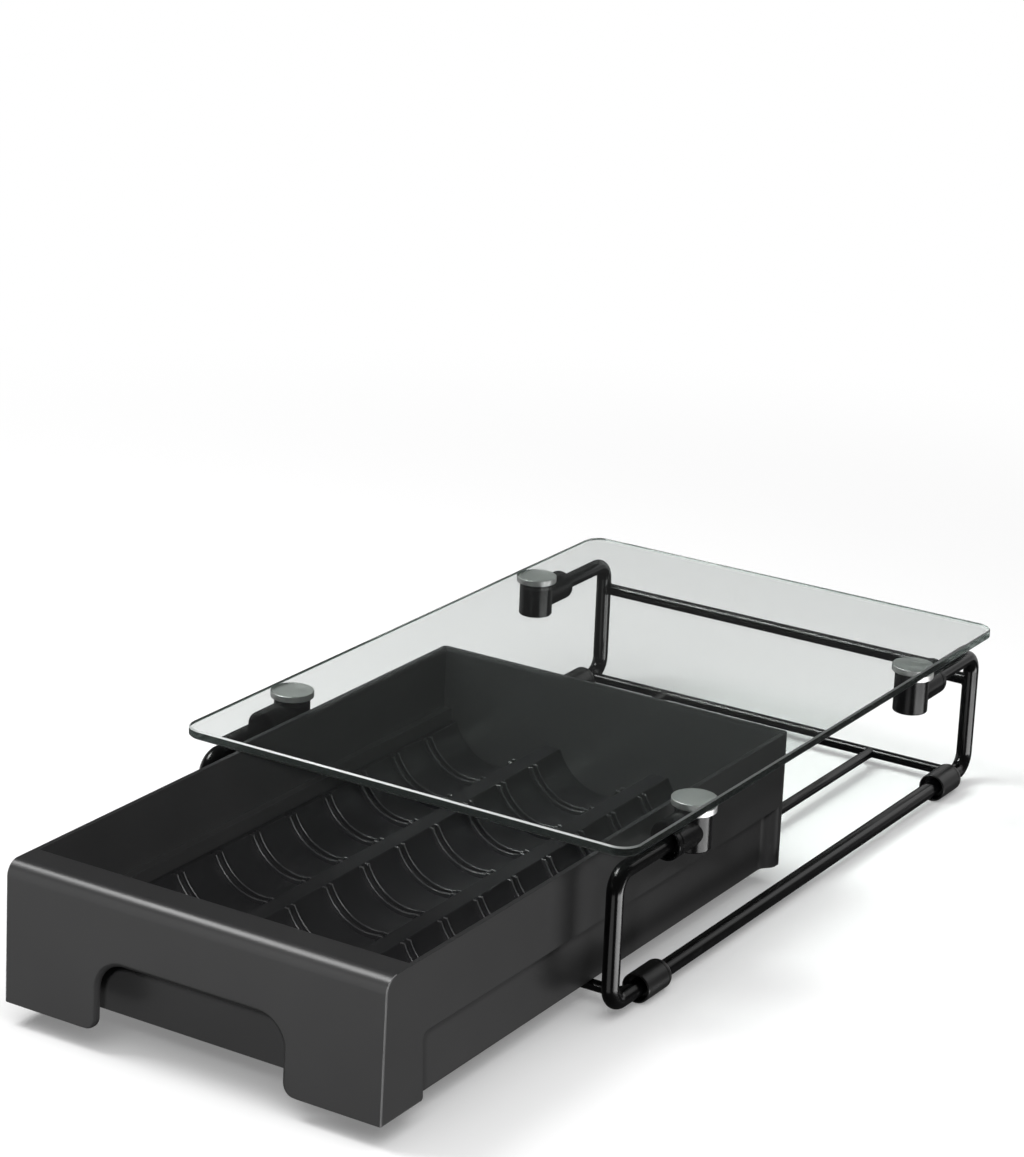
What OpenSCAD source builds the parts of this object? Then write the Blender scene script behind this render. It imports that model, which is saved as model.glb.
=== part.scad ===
// Coffee pod drawer stand: a glass shelf on a bent rod frame, with a pod drawer that slides on two rails.
// Millimetres. +X is to the right, +Y to the rear, +Z up. Z = 0 is the surface that the stand rests on,
// and the origin is below the middle of the whole object with the drawer at its modelled opening.

/* [Glass shelf] */
// Width of the glass shelf
glass_w = 272; // [262:1:320]
// Length of the glass shelf, front to rear
glass_l = 416.5; // [406:0.5:480]
// Thickness of the glass
glass_t = 5.2; // [4:0.1:8]
// Radius of the glass corners in plan
glass_corner_r = 11; // [4:0.5:18]
// Height of the top of the glass above the resting surface
glass_top_z = 96.5; // [94:0.5:120]

/* [Glass connectors] */
// Diameter of the bonding disc under the glass
disc_d = 23.6; // [21:0.1:26]
// Thickness of the bonding disc
disc_t = 3.5; // [2:0.1:5]
// Diameter of the vertical connector post
post_d = 19.6; // [18:0.1:21]
// Height of the connector post
post_h = 20.2; // [19.6:0.1:22]
// Distance from the glass front edge to the front post axes
post_front_inset = 83.4; // [72:0.1:110]
// Distance from the glass rear edge to the rear post axes
post_rear_inset = 85; // [72:0.1:110]
// Distance from the post's top down to the sleeve axis
sleeve_drop = 9.6; // [9.5:0.1:10]
// Wall of the connector sleeve that holds the rod end
sleeve_wall = 4.2; // [3:0.1:4.6]
// Distance from the post axis to the sleeve mouth
sleeve_reach = 28; // [22:0.5:40]
// Depth of the open mouth around the rod, for sleeves and feet
mouth_depth = 5; // [3:0.5:8]
// Wall left around that mouth
mouth_wall = 1.2; // [0.8:0.1:2]
// Diameter of the stud on the disc
stud_d = 7.6; // [7:0.1:9]
// Length of the stud below the disc
stud_l = 9; // [6:0.5:10]
// Shank diameter of the connector screw
screw_d = 4; // [3:0.1:5]
// Head diameter of the connector screw
screw_head_d = 8; // [6.5:0.1:9]
// Head height of the connector screw
screw_head_h = 2.6; // [2:0.1:3]
// Width across the flats of the screw's hexagon socket
screw_socket_af = 3; // [2:0.1:4]

/* [Side frames] */
// Diameter of the bent side rods
rod_d = 9; // [7:0.1:10]
// Centre-line radius of the rod bends
bend_r = 10; // [7:0.5:11]
// Distance from the glass side edge to the rod axis
rod_inset_x = 11.6; // [10:0.1:14]
// Distance from the glass front edge to the front upright's axis
upright_front_inset = 7.8; // [5:0.1:12]
// Distance from the glass rear edge to the rear upright's axis
upright_rear_inset = 4.9; // [4.6:0.1:12]

/* [Feet] */
// Outer diameter of the foot collars, which rest on the surface
foot_d = 16; // [14:0.1:18]
// Length of a foot collar
foot_l = 24; // [18:0.5:30]
// Gap between the front crossbar and the front collars
foot_front_gap = 6; // [2:0.1:20]
// Gap between the rear collars and the rear crossbar
foot_rear_gap = 2.8; // [1:0.1:20]
// Radius of the closed end's rounding
foot_round_r = 2.2; // [1:0.1:3]

/* [Crossbars and rails] */
// Diameter of the crossbars and the rails
bar_d = 6; // [4.5:0.1:7]
// Distance from the front upright's axis to the front crossbar's axis
front_bar_gap = 16.3; // [14:0.1:20]
// Distance from the rear crossbar's axis to the rear upright's axis
rear_bar_gap = 12.1; // [11:0.1:13]
// Distance from the drawer's lower sides to the rail axes
rail_inset = 35.2; // [28:0.1:60]
// Diameter of the rear brace between the rear uprights
brace_d = 7; // [5:0.1:8]
// Distance from the top run's axis down to the rear brace's axis
brace_drop = 15.8; // [14:0.1:40]

/* [Drawer shell] */
// Gap between each side of the drawer and the connector posts
side_gap = 4.2; // [2:0.1:8]
// Gap between the top of the drawer and the glass
top_gap = 7; // [3:0.5:12]
// Gap between the closed drawer and the rear brace
rear_gap = 25.7; // [5:0.1:60]
// How far the drawer's front stands ahead of the glass front edge in this pose
pull_out = 171; // [150:1:176]
// Running gap between the drawer's underside and the rails
run_gap = 0.3; // [0.2:0.05:1]
// Wall of the drawer
wall_t = 2.7; // [2:0.1:3.2]
// Thickness of the front panel
front_t = 3; // [2.5:0.1:4]
// Backward lean of the front panel, from the lower edge up to the rounded edge
front_lean = 1.8; // [0.2:0.1:4]
// Radius of the rounded top front edge
front_round_r = 8; // [5:0.5:10]
// Depth of the flat ledge, from the front to the inside of the drawer
ledge_y = 23.2; // [20:0.1:30]
// Backward lean of the wall behind the front panel, from top to bottom
inner_lean = 2; // [0:0.1:4]
// Length of the full-width front block along the sides
block_l = 34.8; // [32:0.1:45]
// Draft of the front block's rear edge, over the height of the recess
block_draft = 1.5; // [0:0.1:2]
// Radius of the block's lower rear corners
block_corner_r = 1.8; // [0.5:0.1:3]
// Depth of the recess along the lower sides
recess_x = 5.2; // [3:0.1:7]
// Height of the recess above the drawer's underside
recess_h = 34.6; // [30:0.1:40]
// Corner radius of the recess
recess_r = 3.5; // [2:0.1:5]
// Length of the full-width corner behind the recess
rear_corner_l = 5; // [4:0.1:10]
// Length of the S-shaped wall at the end of the recess
recess_end_l = 11.5; // [6:0.5:20]
// Radius of the rear vertical edges
rear_edge_r = 3; // [1:0.1:5]
// Gap under the floor panel, above the drawer's lower edges
floor_lift = 2; // [1.5:0.1:4]
// Thickness of the floor panel
floor_t = 2.6; // [2:0.1:3]
// Width of the skids that run on the rails
skid_w = 8; // [6:0.1:12]

/* [Handle opening] */
// Width of the hand opening in the front panel
handle_w = 108.6; // [90:0.2:130]
// Height of the hand opening
handle_h = 36.8; // [30:0.2:42]
// Radius of the opening's top corners
handle_top_r = 15; // [8:0.5:20]
// Radius of the opening's lower corners
handle_foot_r = 7; // [3:0.5:8]

/* [Travel stops] */
// How far the stops reach below the drawer's lower edges
stop_drop = 4; // [3:0.1:5]
// Width of a stop
stop_w = 14; // [8:0.5:18]
// Distance from a rail's axis to the middle of the stops beside it
stop_offset = 18; // [14:0.5:24]
// Thickness of the stops, front to rear
stop_t = 3; // [2:0.1:4]
// Height of the rib that ties a front stop to the front wall
stop_root_h = 12; // [6:0.5:20]
// Distance from the drawer's rear face to the rear stops
rear_stop_inset = 33.8; // [15:0.1:60]
// Gap left between the front stops and the front crossbar when the drawer is flush with the glass
stop_gap = 0.5; // [0.3:0.1:1]

/* [Pod tray] */
// Number of pod lanes
lane_count = 3; // [2:1:3]
// Distance between the pod places
place_pitch = 32.5; // [30:0.1:34]
// Width of the flat deck left outside the outer lanes
lane_side = 3; // [2.5:0.1:6]
// Inner radius of a lane's trough
trough_r = 31.5; // [31:0.1:33]
// Gap between the troughs and the drawer's floor
trough_gap = 2.9; // [1:0.1:6]
// Distance from the lane axes down to the tray's deck
deck_drop = 11; // [8:0.5:14]
// Sheet thickness of the tray
tray_t = 2; // [1.5:0.1:2.5]
// Inner radius of the ribs that hold the pods' rims
rib_r = 29; // [27:0.1:30]
// Thickness of a rib
rib_t = 1.6; // [1.2:0.1:2.4]
// Slot between the two ribs of a place
slot_w = 3.6; // [2.5:0.1:5]
// Clearance around the tray in the drawer
tray_gap = 0.4; // [0.3:0.1:1]

/* [Hidden] */
$fn = 96;

// Small clearances and overlaps
fit_gap = 0.05;     // radial play of a rod or stud in its bore
weld_in = 0.4;      // how far joined shapes of one solid reach into each other
past = 1;           // how far a cutter runs past a face
edge_break = 0.8;   // chamfer of the connectors' edges
end_steps = 12;     // flats in the S-shaped end of the side recesses

// Places along Y. The origin is midway between the drawer's front and the glass rear edge.
total_l = glass_l + pull_out;
drawer_y0 = -total_l / 2;
glass_y0 = drawer_y0 + pull_out;
glass_y1 = glass_y0 + glass_l;
post_front_y = glass_y0 + post_front_inset;
post_rear_y = glass_y1 - post_rear_inset;
upright_front_y = glass_y0 + upright_front_inset;
upright_rear_y = glass_y1 - upright_rear_inset;
front_bar_y = upright_front_y + front_bar_gap;
rear_bar_y = upright_rear_y - rear_bar_gap;
foot_front_y = front_bar_y + bar_d / 2 + foot_front_gap;
foot_rear_y = rear_bar_y - bar_d / 2 - foot_rear_gap - foot_l;
drawer_y1 = upright_rear_y - brace_d / 2 - rear_gap - pull_out;
drawer_l = drawer_y1 - drawer_y0;

// Places along X and Z
rod_x = glass_w / 2 - rod_inset_x;
rod_z = foot_d / 2;
glass_z0 = glass_top_z - glass_t;
post_z1 = glass_z0 - disc_t;
post_z0 = post_z1 - post_h;
sleeve_d = rod_d + 2 * sleeve_wall;
sleeve_z = post_z1 - sleeve_drop;
brace_z = sleeve_z - brace_drop;
socket_y = stud_d / 2 + 2;                  // socket bottom, from the post axis
drawer_z0 = rod_z + bar_d / 2 + run_gap;
drawer_z1 = glass_z0 - top_gap;
drawer_h = drawer_z1 - drawer_z0;
recess_z1 = drawer_z0 + recess_h;
floor_z0 = drawer_z0 + floor_lift;
floor_z1 = floor_z0 + floor_t;

// Drawer walls
drawer_w = 2 * (rod_x - post_d / 2 - side_gap);
inner_w = drawer_w - 2 * wall_t;
lower_w = drawer_w - 2 * recess_x;
lower_inner_w = lower_w - 2 * wall_t;
rail_x = lower_w / 2 - rail_inset;
stop_x = rail_x + stop_offset;
ledge_y1 = drawer_y0 + ledge_y;
inner_y1 = drawer_y1 - wall_t;
block_y1 = drawer_y0 + block_l;
recess_y1 = drawer_y1 - rear_corner_l;
front_wall_y = ledge_y1 + inner_lean - wall_t / 2;   // middle of the front wall's foot
closed_stop_y = front_bar_y - bar_d / 2 - stop_gap - pull_out;
open_stop_y = drawer_y1 - rear_stop_inset;
front_round_z = drawer_z1 - front_round_r;
front_round_y = drawer_y0 + front_lean + front_round_r;

// Tray places
tray_w = lower_inner_w - 2 * tray_gap;
lane_axis_z = floor_z1 + trough_gap + tray_t + trough_r;
deck_z1 = lane_axis_z - deck_drop;
outer_lane_x = tray_w / 2 - lane_side - sqrt(pow(trough_r, 2) - pow(deck_drop, 2));
tray_y0 = ledge_y1 + inner_lean + tray_gap;
tray_y1 = inner_y1 - tray_gap;
place_count = floor((tray_y1 - tray_y0) / place_pitch);
first_place_y = (tray_y0 + tray_y1 - (place_count - 1) * place_pitch) / 2;

// Y of the leaning front face at height z, below the rounded edge
function front_y(z) = drawer_y0 + front_lean * (z - drawer_z0) / (front_round_z - drawer_z0);
// Y of the leaning inner face of the drawer's front wall at height z
function inner_y(z) = ledge_y1 + inner_lean * (drawer_z1 - z) / drawer_h;
// X of lane number i, counted from the left
function lane_x(i) = (2 * i / (lane_count - 1) - 1) * outer_lane_x;

// Extrudes a side view, drawn in Y and Z, to width w about the middle
module across(w) {
    rotate([90, 0, 90])
        translate([0, 0, -w / 2])
            linear_extrude(w)
                children();
}

// A round bar along Y
module bar_y(d, x, y0, y1, z) {
    translate([x, y0, z])
        rotate([-90, 0, 0])
            cylinder(d = d, h = y1 - y0);
}

// A round bar along X
module bar_x(d, x0, x1, y, z) {
    translate([x0, y, z])
        rotate([0, 90, 0])
            cylinder(d = d, h = x1 - x0);
}

// A box from its low corner to its high corner
module block(low, high) {
    translate(low)
        cube(high - low);
}

// A rectangle with rounded corners in plan
module rounded_rect(w, l, r) {
    square([w - 2 * r, l], center = true);
    square([w, l - 2 * r], center = true);
    for (x = [-1, 1], y = [-1, 1])
        translate([x * (w / 2 - r), y * (l / 2 - r)])
            circle(r);
}

module glass_top() {
    color([0.85, 0.93, 0.90, 0.45])
        translate([0, (glass_y0 + glass_y1) / 2, glass_z0])
            linear_extrude(glass_t)
                rounded_rect(glass_w, glass_l, glass_corner_r);
}

// Bonding disc with its tapped stud, at a post's axis
module disc(x, y) {
    color("gainsboro")
        translate([x, y, 0])
            difference() {
                union() {
                    translate([0, 0, post_z1])
                        cylinder(d = disc_d, h = disc_t);
                    translate([0, 0, post_z1 - stud_l])
                        cylinder(d = stud_d, h = stud_l + weld_in);
                }
                translate([0, 0, post_z1 - stud_l - past])
                    cylinder(d = screw_d + 2 * fit_gap, h = stud_l + past);
            }
}

// Connector: a post with a side sleeve for the rod end. The sleeve points along dir, -1 front or 1 rear.
module connector(x, y, dir) {
    color("dimgray")
        translate([x, y, 0])
            rotate([0, 0, dir < 0 ? 0 : 180])
                difference() {
                    union() {
                        translate([0, 0, post_z0 + edge_break])
                            cylinder(d = post_d, h = post_h - edge_break);
                        translate([0, 0, post_z0])
                            cylinder(d1 = post_d - 2 * edge_break, d2 = post_d, h = edge_break);
                        bar_y(sleeve_d, 0, -sleeve_reach + edge_break, 0, sleeve_z);
                        translate([0, -sleeve_reach, sleeve_z])
                            rotate([-90, 0, 0])
                                cylinder(d1 = sleeve_d - edge_break, d2 = sleeve_d, h = edge_break);
                    }
                    bar_y(sleeve_d - 2 * mouth_wall, 0, -sleeve_reach - past, -sleeve_reach + mouth_depth,
                        sleeve_z);
                    bar_y(rod_d + 2 * fit_gap, 0, -sleeve_reach - past, -socket_y, sleeve_z);
                    translate([0, 0, post_z1 - stud_l - fit_gap])
                        cylinder(d = stud_d + 2 * fit_gap, h = stud_l + fit_gap + past);
                    translate([0, 0, post_z0 - past])
                        cylinder(d = screw_d + 2 * fit_gap, h = post_h);
                    translate([0, 0, post_z0 - past])
                        cylinder(d = screw_head_d + 4 * fit_gap, h = screw_head_h + past + edge_break);
                }
}

// Screws that pull the four discs down onto their posts
module connector_screws() {
    head_z = post_z0 + edge_break;
    color("silver")
        for (x = [-rod_x, rod_x], y = [post_front_y, post_rear_y])
            translate([x, y, head_z])
                difference() {
                    union() {
                        cylinder(d = screw_head_d, h = screw_head_h);
                        cylinder(d = screw_d, h = post_z1 - head_z - past);
                    }
                    translate([0, 0, -past])
                        cylinder(d = screw_socket_af / cos(30), h = screw_head_h * 0.6 + past, $fn = 6);
                }
}

// A quarter bend of the side rod about (y, z), starting turn degrees from +Y towards +Z
module rod_bend(x, y, z, turn) {
    translate([x, y, z])
        rotate([turn, 0, 0])
            rotate([90, 0, 90])
                rotate_extrude(angle = 90)
                    translate([bend_r, 0])
                        circle(d = rod_d);
}

// Side frame: one rod, from the front sleeve round the front, along the bottom and up to the rear sleeve
module side_frame(x) {
    front_y = upright_front_y;
    rear_y = upright_rear_y;
    color("black") {
        bar_y(rod_d, x, front_y + bend_r, post_front_y - socket_y - past, sleeve_z);
        rod_bend(x, front_y + bend_r, sleeve_z - bend_r, 90);
        translate([x, front_y, rod_z + bend_r])
            cylinder(d = rod_d, h = sleeve_z - rod_z - 2 * bend_r);
        rod_bend(x, front_y + bend_r, rod_z + bend_r, 180);
        bar_y(rod_d, x, front_y + bend_r, rear_y - bend_r, rod_z);
        rod_bend(x, rear_y - bend_r, rod_z + bend_r, 270);
        translate([x, rear_y, rod_z + bend_r])
            cylinder(d = rod_d, h = sleeve_z - rod_z - 2 * bend_r);
        rod_bend(x, rear_y - bend_r, sleeve_z - bend_r, 0);
        bar_y(rod_d, x, post_rear_y + socket_y + past, rear_y - bend_r, sleeve_z);
    }
}

// Foot collar pushed onto the bottom run, with an open mouth in front and a rounded closed end
module foot(x, y) {
    color([0.10, 0.10, 0.11])
        translate([x, y, rod_z])
            rotate([-90, 0, 0])
                rotate_extrude()
                    difference() {
                        union() {
                            square([foot_d / 2 - foot_round_r, foot_l]);
                            square([foot_d / 2, foot_l - foot_round_r]);
                            translate([foot_d / 2 - foot_round_r, foot_l - foot_round_r])
                                circle(foot_round_r);
                        }
                        translate([-foot_d, -past])
                            square([foot_d + rod_d / 2 + fit_gap, foot_l + 2 * past]);
                        translate([0, -past])
                            square([foot_d / 2 - mouth_wall, mouth_depth + past]);
                    }
}

// A crossbar between the bottom runs, its ends coped to the rods
module crossbar(y) {
    color("black")
        difference() {
            bar_x(bar_d, -rod_x, rod_x, y, rod_z);
            for (x = [-rod_x, rod_x])
                bar_y(rod_d, x, y - foot_d, y + foot_d, rod_z);
        }
}

// A brace between the rear uprights, its ends coped to them
module rear_brace() {
    color("black")
        difference() {
            bar_x(brace_d, -rod_x, rod_x, upright_rear_y, brace_z);
            for (x = [-rod_x, rod_x])
                translate([x, upright_rear_y, brace_z - brace_d])
                    cylinder(d = rod_d, h = 2 * brace_d);
        }
}

// A drawer rail between the crossbars, its ends coped to them
module rail(x) {
    color("black")
        difference() {
            bar_y(bar_d, x, front_bar_y, rear_bar_y, rod_z);
            for (y = [front_bar_y, rear_bar_y])
                bar_x(bar_d, x - bar_d, x + bar_d, y, rod_z);
        }
}

// Side view of the drawer: leaning front, rounded top front edge, square rear
module drawer_side_view() {
    polygon([
        [drawer_y0, drawer_z0],
        [drawer_y1, drawer_z0],
        [drawer_y1, drawer_z1],
        [front_round_y, drawer_z1],
        [front_round_y, front_round_z],
        [front_round_y - front_round_r, front_round_z]
    ]);
    translate([front_round_y, front_round_z])
        circle(front_round_r);
}

// Side view of the drawer's inside from height z0 upwards, behind the leaning inner wall
module inside_side_view(z0) {
    polygon([
        [inner_y(z0), z0],
        [inner_y1, z0],
        [inner_y1, drawer_z1 + past],
        [inner_y(drawer_z1 + past), drawer_z1 + past]
    ]);
}

// Side view of the hollow between the front panel and the drawer's front wall, open below
module hollow_side_view() {
    z0 = drawer_z0 - past;
    z1 = drawer_z1 - front_t;
    round_r = front_round_r - front_t;
    polygon([
        [front_y(z0) + front_t, z0],
        [inner_y(z0) - wall_t, z0],
        [inner_y(z1) - wall_t, z1],
        [front_round_y, z1],
        [front_round_y, front_round_z],
        [front_round_y - round_r, front_round_z]
    ]);
    translate([front_round_y, front_round_z])
        circle(round_r);
}

// Side view of the recess, with its drafted front edge and rounded upper corner
module recess_side_view() {
    z0 = drawer_z0 - past;
    corner_y = block_y1 - block_draft + recess_r;
    difference() {
        polygon([
            [block_y1, z0],
            [drawer_y1 + past, z0],
            [drawer_y1 + past, recess_z1],
            [block_y1 - block_draft, recess_z1],
            [block_y1, drawer_z0]
        ]);
        difference() {
            translate([corner_y - 2 * recess_r, recess_z1 - recess_r])
                square([2 * recess_r, recess_r + past]);
            translate([corner_y, recess_z1 - recess_r])
                circle(recess_r);
        }
    }
    difference() {
        translate([block_y1 - block_corner_r, z0])
            square([block_corner_r + weld_in, block_corner_r + past]);
        translate([block_y1 - block_corner_r, drawer_z0 + block_corner_r])
            circle(block_corner_r);
    }
}

// Plan view of the right-hand recess, ending at the rear in a smooth S from the inner to the outer wall
module recess_plan_view() {
    x0 = lower_w / 2;
    x1 = drawer_w / 2 + past;
    y0 = recess_y1 - recess_end_l;
    s_curve = [
        for (i = [0 : end_steps])
            [x0 + recess_x * (1 - cos(180 * i / end_steps)) / 2, y0 + recess_end_l * i / end_steps]
    ];
    polygon(concat([[x1, drawer_y0], [x0, drawer_y0]], s_curve, [[x1, recess_y1]]));
}

module side_recess() {
    intersection() {
        across(drawer_w + 2 * past)
            recess_side_view();
        translate([0, 0, drawer_z0 - 2 * past])
            linear_extrude(recess_h + 3 * past)
                for (side = [0, 1])
                    mirror([side, 0])
                        recess_plan_view();
    }
}

// Front view of the hand opening: an arch whose feet flare outwards
module handle_front_view() {
    top = drawer_z0 + handle_h;
    foot = drawer_z0 + handle_foot_r;
    half = handle_w / 2;
    translate([-half, drawer_z0 - past])
        square([handle_w, handle_h + past - handle_top_r]);
    translate([-half + handle_top_r, drawer_z0])
        square([handle_w - 2 * handle_top_r, handle_h]);
    for (side = [-1, 1]) {
        translate([side * (half - handle_top_r), top - handle_top_r])
            circle(handle_top_r);
        difference() {
            translate([side * (half + handle_foot_r / 2), (drawer_z0 - past + foot) / 2])
                square([handle_foot_r, handle_foot_r + past], center = true);
            translate([side * (half + handle_foot_r), foot])
                circle(handle_foot_r);
        }
    }
}

// Plan view of the drawer with its rounded rear edges
module drawer_plan_view() {
    translate([-drawer_w / 2, drawer_y0 - past])
        square([drawer_w, drawer_l + past - rear_edge_r]);
    translate([-drawer_w / 2 + rear_edge_r, drawer_y0])
        square([drawer_w - 2 * rear_edge_r, drawer_l]);
    for (side = [-1, 1])
        translate([side * (drawer_w / 2 - rear_edge_r), drawer_y1 - rear_edge_r])
            circle(rear_edge_r);
}

// Everything that is cut out of the drawer's outer form
module drawer_cuts() {
    under_y0 = inner_y(floor_z0);
    across(inner_w)
        inside_side_view(recess_z1 + wall_t);
    across(lower_inner_w)
        inside_side_view(floor_z1);
    across(drawer_w - 2 * front_t)
        hollow_side_view();
    side_recess();
    block([-lower_inner_w / 2, under_y0, drawer_z0 - past], [lower_inner_w / 2, inner_y1, floor_z0]);
    translate([0, drawer_y0 + front_lean + front_t + past, 0])
        rotate([90, 0, 0])
            linear_extrude(front_lean + front_t + 2 * past)
                handle_front_view();
}

// A skid above each rail
module skids() {
    for (x = [-rail_x, rail_x])
        block([x - skid_w / 2, front_wall_y, drawer_z0],
            [x + skid_w / 2, inner_y1 + weld_in, floor_z0 + weld_in]);
}

// Stops that meet the front crossbar at both ends of the travel
module travel_stops() {
    low_z = drawer_z0 - stop_drop;
    for (x = [-stop_x, stop_x]) {
        block([x - stop_w / 2, closed_stop_y - stop_t, low_z],
            [x + stop_w / 2, closed_stop_y, drawer_z0 + weld_in]);
        block([x - stop_w / 2, closed_stop_y - stop_t, drawer_z0],
            [x + stop_w / 2, front_wall_y, drawer_z0 + stop_root_h]);
        block([x - stop_w / 2, open_stop_y, low_z],
            [x + stop_w / 2, open_stop_y + stop_t, floor_z0 + weld_in]);
    }
}

module drawer_shell() {
    color([0.27, 0.27, 0.28]) {
        difference() {
            intersection() {
                across(drawer_w + 2 * past)
                    drawer_side_view();
                translate([0, 0, drawer_z0 - past])
                    linear_extrude(drawer_h + 2 * past)
                        drawer_plan_view();
            }
            drawer_cuts();
        }
        skids();
        travel_stops();
    }
}

// One cylinder of radius r along each lane, over the tray's length and past its ends
module lanes(r) {
    for (i = [0 : lane_count - 1])
        bar_y(2 * r, lane_x(i), tray_y0 - past, tray_y1 + past, lane_axis_z);
}

// A slab of the tray from y0 to y1 and from z0 up to the deck
module tray_slab(y0, y1, z0) {
    block([-tray_w / 2, y0, z0], [tray_w / 2, y1, deck_z1]);
}

// Troughs, deck, end plates and side skirts, with the lanes cut out
module tray_form() {
    skirt_x = tray_w / 2 - tray_t;
    difference() {
        union() {
            intersection() {
                tray_slab(tray_y0, tray_y1, floor_z1);
                lanes(trough_r + tray_t);
            }
            tray_slab(tray_y0, tray_y1, deck_z1 - tray_t);
            tray_slab(tray_y0, tray_y0 + tray_t, floor_z1);
            tray_slab(tray_y1 - tray_t, tray_y1, floor_z1);
            for (x = [-skirt_x - tray_t, skirt_x])
                block([x, tray_y0, floor_z1], [x + tray_t, tray_y1, deck_z1]);
        }
        lanes(trough_r);
    }
}

// Two low ribs for each row of pods, with a slot for the pods' rims between them
module tray_ribs() {
    difference() {
        intersection() {
            lanes(trough_r + tray_t / 2);
            for (i = [0 : place_count - 1], side = [0, 1]) {
                y = first_place_y + i * place_pitch - slot_w / 2 - rib_t + side * (slot_w + rib_t);
                tray_slab(y, y + rib_t, floor_z1);
            }
        }
        lanes(rib_r);
    }
}

module pod_tray() {
    color([0.13, 0.13, 0.14]) {
        tray_form();
        tray_ribs();
    }
}

glass_top();
disc(-rod_x, post_front_y);  // disc_front_left
disc(rod_x, post_front_y);  // disc_front_right
disc(-rod_x, post_rear_y);  // disc_rear_left
disc(rod_x, post_rear_y);  // disc_rear_right
connector(-rod_x, post_front_y, -1);  // connector_front_left
connector(rod_x, post_front_y, -1);  // connector_front_right
connector(-rod_x, post_rear_y, 1);  // connector_rear_left
connector(rod_x, post_rear_y, 1);  // connector_rear_right
connector_screws();
side_frame(-rod_x);  // side_frame_left
side_frame(rod_x);  // side_frame_right
foot(-rod_x, foot_front_y);  // foot_front_left
foot(rod_x, foot_front_y);  // foot_front_right
foot(-rod_x, foot_rear_y);  // foot_rear_left
foot(rod_x, foot_rear_y);  // foot_rear_right
crossbar(front_bar_y);  // front_crossbar
crossbar(rear_bar_y);  // rear_crossbar
rear_brace();
rail(-rail_x);  // rail_left
rail(rail_x);  // rail_right
drawer_shell();
pod_tray();
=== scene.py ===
"""Looks of the coffee pod drawer stand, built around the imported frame.

Shapes are drawn in millimetres, in the frame's axes, and scaled to metres when a piece is made.
"""

import math

import bmesh
import bpy
from mathutils import Matrix, Vector


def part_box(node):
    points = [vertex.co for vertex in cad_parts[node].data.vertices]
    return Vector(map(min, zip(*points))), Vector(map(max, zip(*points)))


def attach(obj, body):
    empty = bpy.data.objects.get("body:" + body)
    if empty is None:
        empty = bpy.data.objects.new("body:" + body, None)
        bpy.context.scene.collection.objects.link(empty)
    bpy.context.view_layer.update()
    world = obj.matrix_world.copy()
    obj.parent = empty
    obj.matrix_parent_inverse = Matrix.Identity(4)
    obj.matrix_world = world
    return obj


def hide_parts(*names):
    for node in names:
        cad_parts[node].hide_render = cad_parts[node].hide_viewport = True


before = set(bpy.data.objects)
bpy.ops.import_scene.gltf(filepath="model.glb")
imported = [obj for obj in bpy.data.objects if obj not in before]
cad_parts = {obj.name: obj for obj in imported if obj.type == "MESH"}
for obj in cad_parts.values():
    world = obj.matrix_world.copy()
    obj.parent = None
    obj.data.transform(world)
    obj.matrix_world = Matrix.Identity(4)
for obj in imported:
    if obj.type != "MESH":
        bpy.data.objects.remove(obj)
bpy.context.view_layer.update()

MM = 0.001
SIDES = {"left": -1, "right": 1}
SHARP = math.radians(25)     # edges flatter than this are part of a curve and stay as they are
past = 2.0                   # how far a cutter runs past the form it cuts
plan_past = 5.0              # the same for the drawer's form in plan, which cuts its form in side view
near = 0.05                  # distance within which a point counts as lying on a face
root_in = 0.4                # how far one part of a moulding reaches into the next
pin_r = 0.01                 # least radius of a turned form, which keeps its ends proper faces


# ---------------------------------------------------------------- sizes, in millimetres

def box_mm(node):
    """Low and high corner of a CAD node, in millimetres."""
    low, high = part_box(node)
    return low / MM, high / MM


# Glass shelf and its discs
glass_low, glass_high = box_mm("glass_top")
glass_corner_r = 11.0
glass_arris = 0.8
disc_t = 3.5
disc_d = 23.6
disc_edge_r = 0.35
stud_d = 7.6
stud_l = 9.0

# Connectors
front_low, front_high = box_mm("connector_front_right")
rear_low = box_mm("connector_rear_right")[0]
post_d = front_high.x - front_low.x
post_z0 = front_low.z
post_z1 = front_high.z
post_front_y = front_high.y - post_d / 2
post_rear_y = rear_low.y + post_d / 2
sleeve_reach = post_front_y - front_low.y
sleeve_d = 17.4
sleeve_root = 1.5            # from the post's axis to where the sleeve starts
sleeve_lip_r = 0.35
groove_inset = 3.3           # from the sleeve's tip to the groove round it
groove_w = 0.9
groove_slope = 0.2
groove_depth = 0.35
mouth_depth = 5.0
mouth_wall = 1.2
rod_bore_l = 1.0
post_edge_r = 0.8
post_top_r = 0.3
core_r = 0.5                 # radius of the hidden core that closes a turned form
screw_head_d = 8.0
screw_head_h = 2.6
screw_edge = 0.4
screw_play = 0.2
screw_bore_edge = 0.3
screw_socket_af = 3.0
socket_depth = 1.5
socket_edge = 0.25
socket_cone_h = 0.3
socket_cone_r = 0.2

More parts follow.
